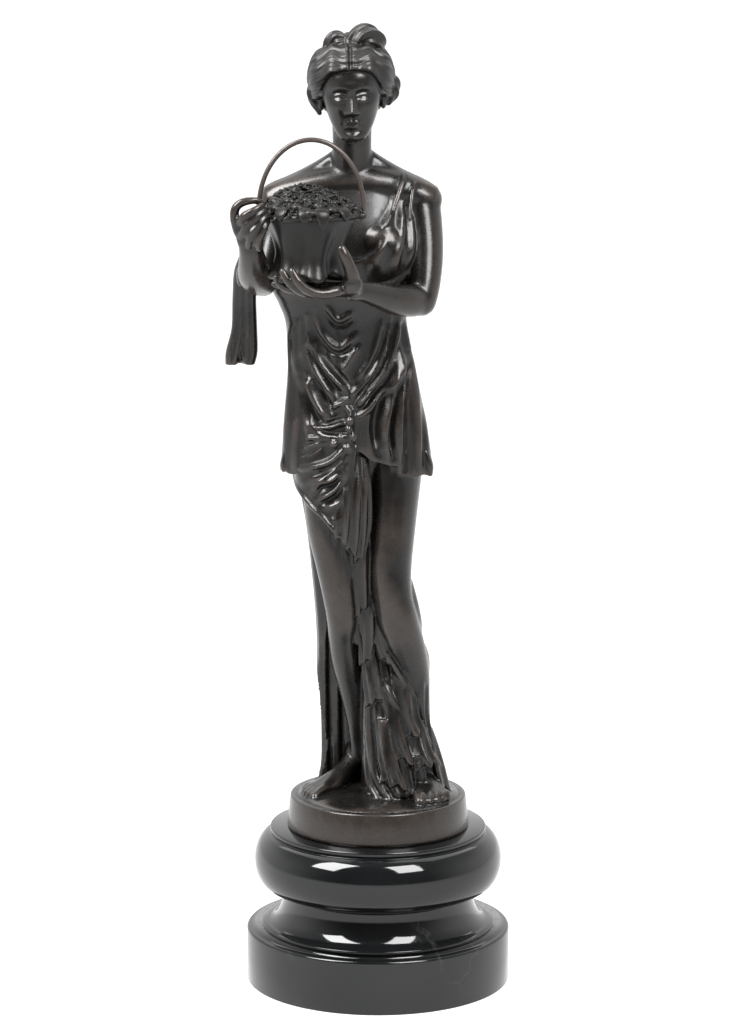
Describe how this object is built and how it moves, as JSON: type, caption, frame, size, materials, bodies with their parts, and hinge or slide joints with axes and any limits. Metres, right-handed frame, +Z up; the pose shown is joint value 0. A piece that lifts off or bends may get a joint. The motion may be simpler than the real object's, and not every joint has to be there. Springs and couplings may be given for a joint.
{
  "type": "statue",
  "caption": "Dark bronze statue of a draped woman holding a basket of flowers with an arched handle, on a turned black marble plinth",
  "frame": {"origin": "centre of the plinth's underside", "axes": "+Z up, the woman faces -Y, +X to the viewer's right"},
  "size_m": [0.1237, 0.1198, 0.4205],
  "materials": {
    "black_marble": "polished black marble, stood in for by a glossy dielectric",
    "figure_bronze": "dark brown-black patinated bronze, waxed to a gloss",
    "basket_bronze": "dark patinated bronze, satin",
    "handle_bronze": "dark brown patinated bronze, satin"
  },
  "bodies": {
    "root": {"marble_plinth": "black_marble", "bronze_figure": "figure_bronze", "flower_basket": "basket_bronze", "basket_handle": "handle_bronze"}
  },
  "joints": []
}
